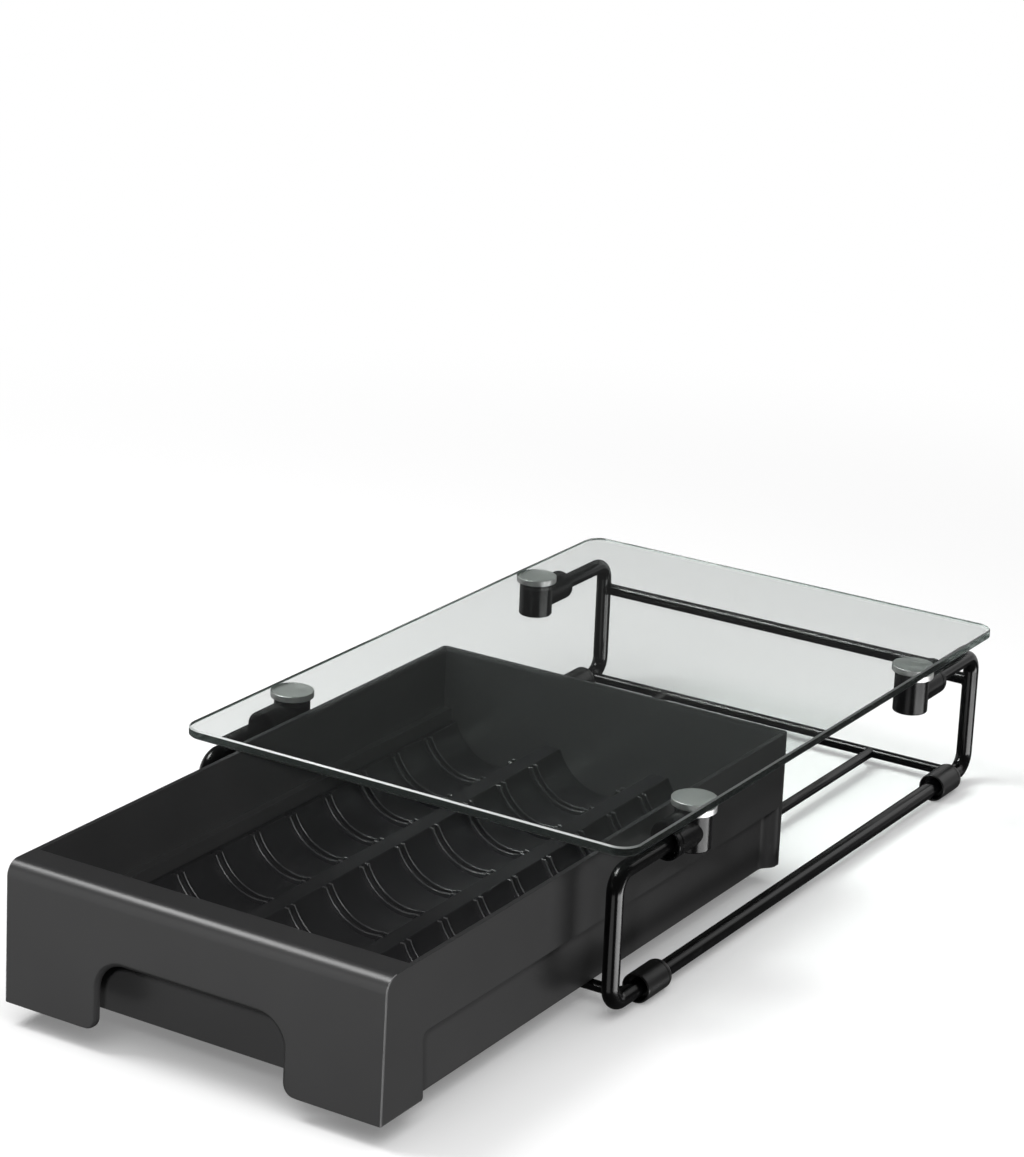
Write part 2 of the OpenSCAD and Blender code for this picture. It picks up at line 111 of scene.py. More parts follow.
# Rods, bars and feet
rod_low, rod_high = box_mm("side_frame_right")
rod_d = rod_high.x - rod_low.x
rod_x = (rod_low.x + rod_high.x) / 2
bend_r = 10.0
rod_z = rod_low.z + rod_d / 2
sleeve_z = rod_high.z - rod_d / 2
upright_front_y = rod_low.y + rod_d / 2
upright_rear_y = rod_high.y - rod_d / 2
rod_in_post = 3.0            # how far a rod's end reaches past the post's surface
bar_in_rod = 2.5             # how far a bar's end reaches past the surface that it meets
weld_r = 0.7
rail_weld_r = 0.2            # low enough for the drawer to pass over it
weld_in = 0.6
weld_stretch = 1.4           # length of a weld bead over its height
foot_front_low, foot_front_high = box_mm("foot_front_right")
foot_rear_low = box_mm("foot_rear_right")[0]
foot_d = foot_front_high.x - foot_front_low.x
foot_l = foot_front_high.y - foot_front_low.y
foot_round_r = 2.2
foot_crease_inset = 1.4
foot_crease_half = 0.25
foot_crease_depth = 0.3
foot_bore_edge = 0.4

# Drawer
shell_low, shell_high = box_mm("drawer_shell")
stop_drop = 4.0
drawer_y0 = shell_low.y
drawer_y1 = shell_high.y
drawer_z0 = shell_low.z + stop_drop
drawer_z1 = shell_high.z
drawer_w = 2 * shell_high.x
wall_t = 2.7
front_t = 3.0
front_lean = 1.8
front_round_r = 8.0
ledge_y1 = drawer_y0 + 23.2
inner_lean = 2.0
inner_y1 = drawer_y1 - wall_t
block_y1 = drawer_y0 + 34.8
block_draft = 1.5
block_corner_r = 1.8
recess_x = 5.2
recess_z1 = drawer_z0 + 34.6
recess_r = 3.5
recess_lead = 1.5            # how far the cutter below the drawer starts before the block's corner
front_edge_r = 0.8
edge_r = 0.4
inside_edge_r = 0.3
recess_edge_share = 0.4      # rounding of the recess's top edge over the recess's depth
recess_y1 = drawer_y1 - 5.0
recess_end_l = 11.5
rear_edge_r = 3.0
floor_z0 = drawer_z0 + 2.0
floor_z1 = floor_z0 + 2.6
lower_w = drawer_w - 2 * recess_x
inner_w = drawer_w - 2 * wall_t
lower_inner_w = lower_w - 2 * wall_t
front_round_y = drawer_y0 + front_lean + front_round_r
front_round_z = drawer_z1 - front_round_r
handle_w = 108.6
handle_top = drawer_z0 + 36.8
handle_top_r = 15.0
handle_foot_r = 7.0
handle_lip = 2.6
handle_lip_foot = 0.2        # share of the lip's rounding that is left at the opening's feet
skid_w = 8.0
skid_edge_r = 0.3
stop_w = 14.0
stop_t = 3.0
stop_root_h = 12.0
stop_offset = 18.0           # from a rail's axis to the middle of the stops beside it
stop_gap = 0.5
pull_out = 171.0             # how far the drawer is out at rest
front_stop_y = box_mm("front_crossbar")[0].y - stop_gap - pull_out
rear_stop_inset = 33.8       # from the drawer's rear face to its rear stops
rear_stop_y = drawer_y1 - rear_stop_inset
highlight_slant = (0.2, 0.98)   # sideways share of a normal on the rounding of the upright front edges, where the painted highlight goes

# Tray
tray_low, tray_high = box_mm("pod_tray")
place_pitch = 32.5
lane_side = 3.0
trough_r = 31.5
trough_gap = 2.9
deck_drop = 11.0
tray_t = 2.0
rib_r = 29.0
rib_t = 1.6
rib_edge = 0.35
slot_w = 3.6
deck_edge_r = 0.45
under_edge_r = 0.2
trough_steps = 28
trough_lift = 0.2            # least height of the sheet's underside over the drawer's floor
plate_inset = 0.05           # how far the end plates stay inside the sheet's own faces
tray_half = tray_high.x
lane_z = floor_z1 + trough_gap + tray_t + trough_r
deck_z = lane_z - deck_drop
trough_angle = math.degrees(math.asin(deck_drop / trough_r))
outer_lane_x = tray_half - lane_side - math.sqrt(trough_r ** 2 - deck_drop ** 2)
lane_xs = [side * outer_lane_x for side in (-1, 0, 1)]


# ---------------------------------------------------------------- outlines

def turned(v, angle):
    """A plane vector turned by an angle."""
    c, s = math.cos(angle), math.sin(angle)
    return Vector((v.x * c - v.y * s, v.x * s + v.y * c))


def arc(centre, radius, start, end, steps):
    """Points of an arc, its angles in degrees."""
    points = []
    for i in range(steps + 1):
        a = math.radians(start + (end - start) * i / steps)
        points.append((centre[0] + radius * math.cos(a), centre[1] + radius * math.sin(a)))
    return points


def rounded(points, radii, steps=8):
    """An outline whose corners are arcs of the given radii."""
    out = []
    for i, radius in enumerate(radii):
        corner = Vector(points[i])
        if radius <= 0:
            out.append(tuple(corner))
            continue
        back = (Vector(points[i - 1]) - corner).normalized()
        ahead = (Vector(points[(i + 1) % len(points)]) - corner).normalized()
        half = back.angle(ahead) / 2
        centre = corner + (back + ahead).normalized() * radius / math.sin(half)
        first = corner + back * radius / math.tan(half) - centre
        last = corner + ahead * radius / math.tan(half) - centre
        sweep = math.atan2(first.x * last.y - first.y * last.x, first.dot(last))
        for k in range(steps + 1):
            out.append(tuple(centre + turned(first, sweep * k / steps)))
    return out


def rectangle(low, high, radius=0.0, steps=8):
    """A rectangle with rounded corners."""
    points = [(low[0], low[1]), (high[0], low[1]), (high[0], high[1]), (low[0], high[1])]
    return rounded(points, [radius] * 4, steps)


# ---------------------------------------------------------------- meshes

def place(axis, a, b, along):
    """A point whose section lies at (a, b) and which is along the given axis."""
    if axis == "x":
        return (along, a, b)
    if axis == "y":
        return (a, along, b)
    return (a, b, along)


def solid(vertices, faces):
    """A bmesh with its faces turned outwards."""
    bm = bmesh.new()
    made = [bm.verts.new(v) for v in vertices]
    for face in faces:
        bm.faces.new([made[i] for i in face])
    bmesh.ops.recalc_face_normals(bm, faces=bm.faces)
    return bm


def rings_mesh(rings, loop=False):
    """A skin over rings of equal length, capped unless it loops back to its first ring."""
    size = len(rings[0])
    vertices = [p for ring in rings for p in ring]
    faces = []
    last = len(rings) if loop else len(rings) - 1
    for r in range(last):
        low, high = r * size, (r + 1) % len(rings) * size
        for i in range(size):
            j = (i + 1) % size
            faces.append((low + i, low + j, high + j, high + i))
    if not loop:
        faces.append(tuple(range(size)))
        faces.append(tuple(range(len(vertices) - size, len(vertices))))
    return solid(vertices, faces)


def prism(outline, axis, start, end):
    """An outline drawn out along an axis."""
    rings = [[place(axis, a, b, along) for a, b in outline] for along in (start, end)]
    return rings_mesh(rings)


def soft_slab(low, high, radius, edge):
    """A flat slab with rounded corners in plan and a flat bevel along its upper and lower edges."""
    rings = []
    for inset, z in ((edge, low.z), (0, low.z + edge), (0, high.z - edge), (edge, high.z)):
        outline = rectangle((low.x + inset, low.y + inset), (high.x - inset, high.y - inset),
                            radius - inset, 20)
        rings.append([(x, y, z) for x, y in outline])
    return rings_mesh(rings)


def revolved(profile, axis, centre, sides=72, ring=False):
    """A profile of (radius, place along the axis) turned round an axis through centre.

    With ring, the profile is a closed loop that stays clear of the axis.
    """
    rings = []
    for radius, along in profile:
        radius = max(radius, pin_r)
        rings.append([])
        for i in range(sides):
            a = 2 * math.pi * i / sides
            point = place(axis, radius * math.cos(a), radius * math.sin(a), along)
            rings[-1].append(tuple(Vector(point) + Vector(centre)))
    return rings_mesh(rings, loop=ring)


def tube(path, radius, sides=40):
    """A round rod along a path of points that all lie at the same x."""
    rings = []
    across = Vector((1, 0, 0))
    for i, point in enumerate(path):
        before = Vector(path[max(i - 1, 0)])
        after = Vector(path[min(i + 1, len(path) - 1)])
        other = (after - before).normalized().cross(across)
        ring = []
        for k in range(sides):
            a = 2 * math.pi * k / sides
            ring.append(tuple(Vector(point) + radius * (math.cos(a) * across + math.sin(a) * other)))
        rings.append(ring)
    return rings_mesh(rings)


def joined(parts):
    """Several bmeshes as one."""
    whole = bmesh.new()
    for part in parts:
        mesh = bpy.data.meshes.new("part")
        part.to_mesh(mesh)
        part.free()
        whole.from_mesh(mesh)
        bpy.data.meshes.remove(mesh)
    return whole


def new_object(name, bm):
    """An object made from a bmesh, which is freed."""
    mesh = bpy.data.meshes.new(name)
    bm.to_mesh(mesh)
    bm.free()
    obj = bpy.data.objects.new(name, mesh)
    bpy.context.scene.collection.objects.link(obj)
    return obj


def apply_modifiers(obj):
    """Gives the object the mesh that its modifiers make, and takes them off."""
    bpy.context.view_layer.update()
    graph = bpy.context.evaluated_depsgraph_get()
    mesh = bpy.data.meshes.new_from_object(obj.evaluated_get(graph))
    obj.modifiers.clear()
    obj.data = mesh


def combined(body, others, operation):
    """One exact boolean of body with each of the others, in turn. All are bmeshes."""
    first = new_object("body", body)
    tools = [new_object("tool", other) for other in others]
    for tool in tools:
        modifier = first.modifiers.new("boolean", "BOOLEAN")
        modifier.operation = operation
        modifier.solver = "EXACT"
        modifier.object = tool
    apply_modifiers(first)
    bm = bmesh.new()
    bm.from_mesh(first.data)
    bmesh.ops.remove_doubles(bm, verts=bm.verts, dist=1e-4)
    for obj in [first] + tools:
        bpy.data.objects.remove(obj)
    return bm


def bevelled(bm, width_of, segments):
    """Rounds each edge by the width that width_of gives for it."""
    widths = [width_of(edge) for edge in bm.edges]
    most = max(widths)
    obj = new_object("bevelled", bm)
    weights = obj.data.attributes.new("bevel_weight_edge", "FLOAT", "EDGE")
    weights.data.foreach_set("value", [w / most for w in widths])
    modifier = obj.modifiers.new("bevel", "BEVEL")
    modifier.limit_method = "WEIGHT"
    modifier.width = most
    modifier.segments = segments
    modifier.use_clamp_overlap = False
    modifier.miter_outer = "MITER_ARC"
    apply_modifiers(obj)
    obj.data.attributes.remove(obj.data.attributes["bevel_weight_edge"])
    out = bmesh.new()
    out.from_mesh(obj.data)
    bpy.data.objects.remove(obj)
    return out


def piece(name, bm, material, body, sharp=32.0, centre=(0, 0, 0)):
    """Makes a finished piece from a bmesh in millimetres and sets it on its body."""
    obj = new_object(name, bm)
    obj.data.transform(Matrix.Translation(-Vector(centre)))
    obj.data.transform(Matrix.Scale(MM, 4))
    obj.location = Vector(centre) * MM
    for polygon in obj.data.polygons:
        polygon.use_smooth = True
    obj.data.set_sharp_from_angle(angle=math.radians(sharp))
    modifier = obj.modifiers.new("weighted_normals", "WEIGHTED_NORMAL")
    modifier.keep_sharp = True
    modifier.weight = 100
    apply_modifiers(obj)
    obj.data.name = name
    obj.data.materials.clear()
    obj.data.materials.append(material)
    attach(obj, body)
    return obj


# ---------------------------------------------------------------- materials

def new_material(name):
    """A material with its node tree, its Principled shader and the call that adds a node."""
    material = bpy.data.materials.new(name)
    material.use_nodes = True
    tree = material.node_tree
    return material, tree, tree.nodes["Principled BSDF"], tree.nodes.new


def noise(tree, add, scale, detail=3.0):
    """Noise over the object's own coordinates."""
    coordinates = add("ShaderNodeTexCoord")
    texture = add("ShaderNodeTexNoise")
    texture.inputs["Scale"].default_value = scale
    texture.inputs["Detail"].default_value = detail
    tree.links.new(coordinates.outputs["Object"], texture.inputs["Vector"])
    return texture.outputs["Fac"]


def ranged_by(tree, add, source, low, high, start, end):
    """A value mapped from start and end to low and high, with no kink at either end."""
    node = add("ShaderNodeMapRange")
    node.interpolation_type = "SMOOTHSTEP"
    for name, value in (("From Min", start), ("From Max", end), ("To Min", low), ("To Max", high)):
        node.inputs[name].default_value = value
    tree.links.new(source, node.inputs["Value"])
    return node.outputs["Result"]


def ranged(tree, add, source, low, high):
    """A noise's middle part, mapped to the range from low to high."""
    return ranged_by(tree, add, source, low, high, 0.15, 0.85)


def mixed_colour(tree, add, source, low, high):
    """A colour that a noise varies between two tones."""
    node = add("ShaderNodeMix")
    node.data_type = "RGBA"
    node.inputs[6].default_value = (*low, 1)
    node.inputs[7].default_value = (*high, 1)
    tree.links.new(source, node.inputs["Factor"])
    return node.outputs[2]


def bump(tree, add, source, depth):
    """A normal that follows the source's relief, of the given depth in metres."""
    node = add("ShaderNodeBump")
    node.inputs["Distance"].default_value = depth
    tree.links.new(source, node.inputs["Height"])
    return node.outputs["Normal"]


# A roughness range never crosses 0.274, because Cycles' denoiser draws lines where it does.

def plastic(name, dark, light, rough, grain_mm, grain_depth, specular=0.5):
    """Moulded plastic with a fine spark-eroded grain and slightly uneven sheen."""
    material, tree, shader, add = new_material(name)
    mottle = ranged(tree, add, noise(tree, add, 28, 2), 0, 1)
    tree.links.new(mixed_colour(tree, add, mottle, dark, light), shader.inputs["Base Color"])
    sheen = ranged(tree, add, noise(tree, add, 9, 5), rough - 0.03, rough + 0.03)
    tree.links.new(sheen, shader.inputs["Roughness"])
    grain = noise(tree, add, 1 / (grain_mm * MM), 2)
    tree.links.new(bump(tree, add, grain, grain_depth * MM), shader.inputs["Normal"])
    shader.inputs["Specular IOR Level"].default_value = specular
    return material


def enamel(name, dark, light, rough, specular):
    """Powder coat with a faint orange peel and specks in its sheen."""
    material, tree, shader, add = new_material(name)
    mottle = ranged(tree, add, noise(tree, add, 60, 3), 0, 1)
    tree.links.new(mixed_colour(tree, add, mottle, dark, light), shader.inputs["Base Color"])
    sheen = ranged(tree, add, noise(tree, add, 120, 3), rough - 0.025, rough + 0.03)
    tree.links.new(sheen, shader.inputs["Roughness"])
    peel = noise(tree, add, 260, 2)
    tree.links.new(bump(tree, add, peel, 0.004 * MM), shader.inputs["Normal"])
    shader.inputs["Specular IOR Level"].default_value = specular
    return material


def turned_metal(name, colour, rough, ring_mm, depth):
    """Metal with fine rings round the piece's own Z axis, as from a lathe.

    ring_mm is the rings' spacing over 2 pi, and a wave texture of scale 1 turns by wave_rate per unit.
    """
    wave_rate = 20
    material, tree, shader, add = new_material(name)
    shader.inputs["Metallic"].default_value = 1.0
    shader.inputs["Base Color"].default_value = (*colour, 1)
    coordinates = add("ShaderNodeTexCoord")
    rings = add("ShaderNodeTexWave")
    rings.wave_type = "RINGS"
    rings.rings_direction = "Z"
    rings.inputs["Scale"].default_value = 1 / (ring_mm * MM) / wave_rate
    tree.links.new(coordinates.outputs["Object"], rings.inputs["Vector"])
    tree.links.new(bump(tree, add, rings.outputs["Fac"], depth * MM), shader.inputs["Normal"])
    sheen = ranged(tree, add, noise(tree, add, 240, 3), rough - 0.05, rough + 0.06)
    tree.links.new(sheen, shader.inputs["Roughness"])
    return material


def clear_glass(name):
    """Clear float glass: faint green-grey by its depth, and it lets lamps through to the floor."""
    material, tree, shader, add = new_material(name)
    shader.inputs["Base Color"].default_value = (0.985, 0.995, 0.99, 1)
    shader.inputs["Transmission Weight"].default_value = 1.0
    shader.inputs["IOR"].default_value = 1.5
    smear = ranged(tree, add, noise(tree, add, 14, 5), 0.0, 0.018)
    tree.links.new(smear, shader.inputs["Roughness"])
    through = add("ShaderNodeBsdfTransparent")
    through.inputs["Color"].default_value = (0.84, 0.87, 0.855, 1)
    rays = add("ShaderNodeLightPath")
    mix = add("ShaderNodeMixShader")
    output = tree.nodes["Material Output"]
    tree.links.new(rays.outputs["Is Shadow Ray"], mix.inputs["Fac"])
    tree.links.new(shader.outputs["BSDF"], mix.inputs[1])
    tree.links.new(through.outputs["BSDF"], mix.inputs[2])
    tree.links.new(mix.outputs["Shader"], output.inputs["Surface"])
    inside = add("ShaderNodeVolumeAbsorption")
    inside.inputs["Color"].default_value = (0.62, 0.80, 0.73, 1)
    inside.inputs["Density"].default_value = 14.0
    tree.links.new(inside.outputs["Volume"], output.inputs["Volume"])
    return material


def ground_edge(name, clear, dark, light):
    """Ground glass: a fine frost, of which clear is the share that light goes straight through."""
    material, tree, shader, add = new_material(name)
    shader.inputs["Transmission Weight"].default_value = clear
    shader.inputs["IOR"].default_value = 1.5
    frost = ranged(tree, add, noise(tree, add, 900, 3), 0.14, 0.24)
    tree.links.new(frost, shader.inputs["Roughness"])
    tone = ranged(tree, add, noise(tree, add, 60, 4), 0, 1)
    tree.links.new(mixed_colour(tree, add, tone, dark, light), shader.inputs["Base Color"])
    return material


drawer_plastic = plastic("drawer_plastic", dark=(0.040, 0.040, 0.0405), light=(0.045, 0.045, 0.0455),
                         rough=0.31, grain_mm=0.45, grain_depth=0.003, specular=1.0)
# Pale plastic for the roundings of the drawer's upright front edges: a painted highlight
painted_highlight_plastic = plastic("painted_highlight_plastic", dark=(0.19, 0.19, 0.191), light=(0.24, 0.24, 0.241),
                         rough=0.31, grain_mm=0.45, grain_depth=0.003)
# The tray's plastic is darker than the drawer's: painted shade for the inside of the drawer
tray_plastic = plastic("tray_plastic", dark=(0.014, 0.014, 0.015), light=(0.019, 0.019, 0.020),
                       rough=0.42, grain_mm=0.6, grain_depth=0.006)
foot_plastic = plastic("foot_plastic", dark=(0.014, 0.014, 0.014), light=(0.019, 0.019, 0.019),
                       rough=0.36, grain_mm=0.35, grain_depth=0.004)
rod_enamel = enamel("rod_enamel", dark=(0.003, 0.003, 0.0033), light=(0.006, 0.006, 0.0063),
                    rough=0.19, specular=0.42)
connector_enamel = enamel("connector_enamel", dark=(0.006, 0.006, 0.0065), light=(0.009, 0.009, 0.0095),
                          rough=0.24, specular=0.35)
disc_metal = turned_metal("disc_metal", (0.84, 0.84, 0.83), rough=0.42, ring_mm=0.5, depth=0.001)
screw_metal = turned_metal("screw_metal", (0.56, 0.56, 0.55), rough=0.34, ring_mm=0.35, depth=0.01)
shelf_glass = clear_glass("shelf_glass")
ground_glass = ground_edge("ground_glass", clear=0.15, dark=(0.88, 0.93, 0.91),
                           light=(0.96, 0.99, 0.98))
# Edge faces of the shelf: the glass's own green tint, made pale by painted light that stands for light seen
# through the edge
painted_light_edge_glass = ground_edge("painted_light_edge_glass", clear=0.75, dark=(0.36, 0.44, 0.41),
                             light=(0.46, 0.54, 0.51))


# ---------------------------------------------------------------- glass shelf

def glass_shelf():
    """Glass sheet with a polished edge and a ground arris above and below it; the edge's pale grey-green is
    painted light.
    """
    slab = soft_slab(glass_low, glass_high, glass_corner_r, glass_arris)
    shelf = piece("glass_shelf", slab, shelf_glass, "frame", sharp=25)
    shelf.data.materials.append(ground_glass)
    shelf.data.materials.append(painted_light_edge_glass)
    on_arris, on_edge = 1, 2
    # The upright edge faces take the pale grey-green of painted light
    for polygon in shelf.data.polygons:
        upward = abs(polygon.normal.z)
        if upward <= 0.2:
            polygon.material_index = on_edge
        elif upward < 0.9:
            polygon.material_index = on_arris
    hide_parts("glass_top")


# ---------------------------------------------------------------- connectors

def bonding_disc(name, node, x, y):
    """Turned disc under the glass, with the stud that stands in the post."""
    edge = disc_edge_r
    stud_r = stud_d / 2
    profile = [(0, post_z1 - stud_l), (stud_r, post_z1 - stud_l), (stud_r, post_z1)]
    profile += arc((disc_d / 2 - edge, post_z1 + edge), edge, -90, 0, 3)
    profile += arc((disc_d / 2 - edge, post_z1 + disc_t - edge), edge, 0, 90, 3)
    profile += [(0, post_z1 + disc_t)]
    disc = piece(name, revolved(profile, "z", (x, y, 0)), disc_metal, "frame",
                 centre=(x, y, post_z1))
    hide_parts(node)


def connector(name, node, x, y, ahead):
    """Post with a side sleeve; ahead is -1 where the sleeve points to the front, 1 to the rear."""
    post_r = post_d / 2
    edge = post_edge_r
    top = post_top_r
    bore_r = (screw_head_d + screw_play) / 2
    step_z = post_z0 + edge + screw_head_h
    post = [(core_r, step_z), (bore_r, step_z)]
    post += [(bore_r, post_z0 + screw_bore_edge), (bore_r + screw_bore_edge, post_z0)]
    post += arc((post_r - edge, post_z0 + edge), edge, -90, 0, 5)
    post += arc((post_r - top, post_z1 - top), top, 0, 90, 3)
    post += [(core_r, post_z1)]
    sleeve_r = sleeve_d / 2
    mouth_r = sleeve_r - mouth_wall
    lip = sleeve_lip_r
    tip = sleeve_reach
    groove_r = sleeve_r - groove_depth
    groove_end = tip - groove_inset
    groove_start = groove_end - groove_w
    floor_y = tip - mouth_depth
    bore_y = floor_y - rod_bore_l
    sleeve = [(core_r, sleeve_root), (sleeve_r, sleeve_root), (sleeve_r, groove_start)]
    sleeve += [(groove_r, groove_start + groove_slope), (groove_r, groove_end - groove_slope)]
    sleeve += [(sleeve_r, groove_end)]
    sleeve += arc((sleeve_r - lip, tip - lip), lip, 0, 90, 3)
    sleeve += arc((mouth_r + lip, tip - lip), lip, 90, 180, 3)
    sleeve += [(mouth_r, floor_y), (rod_d / 2, floor_y), (rod_d / 2, bore_y), (core_r, bore_y)]
    sleeve = [(radius, ahead * along) for radius, along in sleeve]
    parts = [revolved(post, "z", (x, y, 0)), revolved(sleeve, "y", (x, y, sleeve_z))]
    obj = piece(name, joined(parts), connector_enamel, "frame", centre=(x, y, sleeve_z))
    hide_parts(node)


def hexagon_r(angle, half_flat):
    """Radius of a hexagon at an angle, from half the width across its flats."""
    turn = (angle + math.pi / 6) % (math.pi / 3) - math.pi / 6
    return half_flat / math.cos(turn)


def screw(x, y):
    """Socket-head screw in the underside of a post."""
    head_r = screw_head_d / 2
    low = post_z0 + post_edge_r
    top = low + screw_head_h
    deep = low + socket_depth
    flat = screw_socket_af / 2
    angles = [2 * math.pi * i / 36 for i in range(36)]
    rings = []
    for radius, z in ((core_r, top), (head_r, top), (head_r, low + screw_edge), (head_r - screw_edge, low)):
        rings.append([(x + radius * math.cos(a), y + radius * math.sin(a), z) for a in angles])
    for half_flat, z in ((flat + socket_edge, low), (flat, low + socket_edge), (flat, deep),
                         (socket_cone_r, deep + socket_cone_h)):
        ring = [(hexagon_r(a, half_flat), a) for a in angles]
        rings.append([(x + radius * math.cos(a), y + radius * math.sin(a), z) for radius, a in ring])
    return rings_mesh(rings)


def connectors():
    """Disc, connector and screw at each of the four posts. The four screws are one CAD node."""
    for side, sign in SIDES.items():
        x = sign * rod_x
        for row, y, ahead in (("front", post_front_y, -1), ("rear", post_rear_y, 1)):
            bonding_disc(f"bonding_disc_{row}_{side}", f"disc_{row}_{side}", x, y)
            connector(f"shelf_connector_{row}_{side}", f"connector_{row}_{side}", x, y, ahead)
            obj = piece(f"socket_screw_{row}_{side}", screw(x, y), screw_metal, "frame",
                        centre=(x, y, post_z0))
            if (row, side) == ("front", "left"):
                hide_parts("connector_screws")


# ---------------------------------------------------------------- rods and bars

def side_frame(name, node, x):
    """One rod: from the front sleeve round the front, along the bottom and up to the rear sleeve."""
    reach = post_d / 2 - rod_in_post
    points = [
        (post_front_y - reach, sleeve_z),
        (upright_front_y, sleeve_z),
        (upright_front_y, rod_z),
        (upright_rear_y, rod_z),
        (upright_rear_y, sleeve_z),
        (post_rear_y + reach, sleeve_z),
    ]
    path = [(x, y, z) for y, z in rounded(points, [0, bend_r, bend_r, bend_r, bend_r, 0], 14)]
    obj = piece(name, tube(path, rod_d / 2), rod_enamel, "frame", centre=(x, 0, rod_z))
    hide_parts(node)


def bar(name, node, axis, start, end, into, weld):
    """A round bar from axis to axis of what it meets, its ends flared into weld beads.

    into is the radius of what it meets, and weld the height of the beads.
    """
    low, high = box_mm(node)
    middle = (low + high) / 2
    radius = (high.z - low.z) / 2
    tip = into - bar_in_rod
    steps = 5
    bead = []
    for k in range(steps + 1):
        a = math.pi / 2 * k / steps
        along = into - weld_in + weld_stretch * weld * (1 - math.cos(a))
        bead.append((radius + weld * (1 - math.sin(a)), along))
    profile = [(0, start + tip), (radius + weld, start + tip)]
    profile += [(r, start + along) for r, along in bead]
    profile += [(r, end - along) for r, along in reversed(bead)]
    profile += [(radius + weld, end - tip), (0, end - tip)]
    centre = (0, middle.y, middle.z) if axis == "x" else (middle.x, 0, middle.z)
    form = revolved(profile, axis, centre, sides=40)
    obj = piece(name, form, rod_enamel, "frame", centre=centre)
    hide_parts(node)


def rods_and_bars():
    """The welded frame: side frames, crossbars, brace and rails."""
    for side, sign in SIDES.items():
        side_frame(f"bent_rod_{side}", f"side_frame_{side}", sign * rod_x)
    for name in ("front_crossbar", "rear_crossbar", "rear_brace"):
        bar(f"{name}_bar", name, "x", -rod_x, rod_x, rod_d / 2, weld_r)
    front_bar = box_mm("front_crossbar")
    rear_bar = box_mm("rear_crossbar")
    bar_r = (front_bar[1].z - front_bar[0].z) / 2
    bar_ys = [(low.y + high.y) / 2 for low, high in (front_bar, rear_bar)]
    for side in SIDES:
        bar(f"slide_rail_{side}", f"rail_{side}", "y", *bar_ys, bar_r, rail_weld_r)


# ---------------------------------------------------------------- feet

def foot(name, node, x, y):
    """Collar with an open mouth in front and a rounded closed end."""
    foot_r = foot_d / 2
    end_r = foot_round_r
    lip = mouth_wall / 2
    mouth_r = foot_r - mouth_wall
    crease = foot_l - end_r - foot_crease_inset
    bore_r = rod_d / 2
    profile = [(bore_r, mouth_depth), (mouth_r, mouth_depth)]
    profile += arc((mouth_r + lip, lip), lip, 180, 270, 3)
    profile += arc((foot_r - lip, lip), lip, 270, 360, 3)
    profile += [(foot_r, crease - foot_crease_half), (foot_r - foot_crease_depth, crease)]
    profile += [(foot_r, crease + foot_crease_half)]
    profile += arc((foot_r - end_r, foot_l - end_r), end_r, 0, 90, 8)
    profile += [(bore_r + foot_bore_edge, foot_l), (bore_r, foot_l - foot_bore_edge)]
    form = revolved(profile, "y", (x, y, rod_z), ring=True)
    obj = piece(name, form, foot_plastic, "frame", centre=(x, y + foot_l / 2, rod_z))
    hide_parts(node)


def feet():
    """A collar near each end of both bottom runs."""
    for side, sign in SIDES.items():
        foot(f"foot_collar_front_{side}", f"foot_front_{side}", sign * rod_x, foot_front_low.y)
        foot(f"foot_collar_rear_{side}", f"foot_rear_{side}", sign * rod_x, foot_rear_low.y)


# ---------------------------------------------------------------- drawer

def front_y(z):
    """Y of the leaning front face at height z."""
    return drawer_y0 + front_lean * (z - drawer_z0) / (front_round_z - drawer_z0)


def inner_y(z):
    """Y of the leaning wall behind the front, on the inside of the drawer."""
    return ledge_y1 + inner_lean * (drawer_z1 - z) / (drawer_z1 - drawer_z0)


def shell_form():
    """Outer form: leaning front, rounded top front edge, rounded rear edges."""
    side = [(drawer_y0, drawer_z0), (drawer_y1, drawer_z0), (drawer_y1, drawer_z1)]
    side += arc((front_round_y, front_round_z), front_round_r, 90, 180, 16)
    half = drawer_w / 2
    front = drawer_y0 - plan_past
    plan = rounded([(-half, front), (half, front), (half, drawer_y1), (-half, drawer_y1)],
                   [0, 0, rear_edge_r, rear_edge_r], 10)
    plan_form = prism(plan, "z", drawer_z0 - plan_past, drawer_z1 + plan_past)
    return combined(prism(side, "x", -half - past, half + past), [plan_form], "INTERSECT")


def inside_cut(width, z0):
    """Space inside the drawer from z0 upwards, behind the leaning inner wall."""
    z1 = drawer_z1 + past
    side = [(inner_y(z0), z0), (inner_y1, z0), (inner_y1, z1), (inner_y(z1), z1)]
    return prism(side, "x", -width / 2, width / 2)


def hollow_cut():
    """Space behind the front panel, open below."""
    z0 = drawer_z0 - past
    z1 = drawer_z1 - front_t
    radius = front_round_r - front_t
    side = [(front_y(z0) + front_t, z0), (inner_y(z0) - wall_t, z0), (inner_y(z1) - wall_t, z1)]
    side += arc((front_round_y, front_round_z), radius, 90, 180, 10)
    half = drawer_w / 2 - front_t
    return prism(side, "x", -half, half)


def recess_rise(y):
    """How far the recess wall has come out at y: two equal arcs make the S at its rear end."""
    along = min(recess_end_l, max(0, y - recess_y1 + recess_end_l))
    if along > recess_end_l / 2:
        return recess_x - recess_rise(2 * recess_y1 - recess_end_l - y)
    radius = recess_end_l / 2 / math.sin(2 * math.atan(recess_x / recess_end_l))
    return radius - math.sqrt(radius ** 2 - along ** 2)


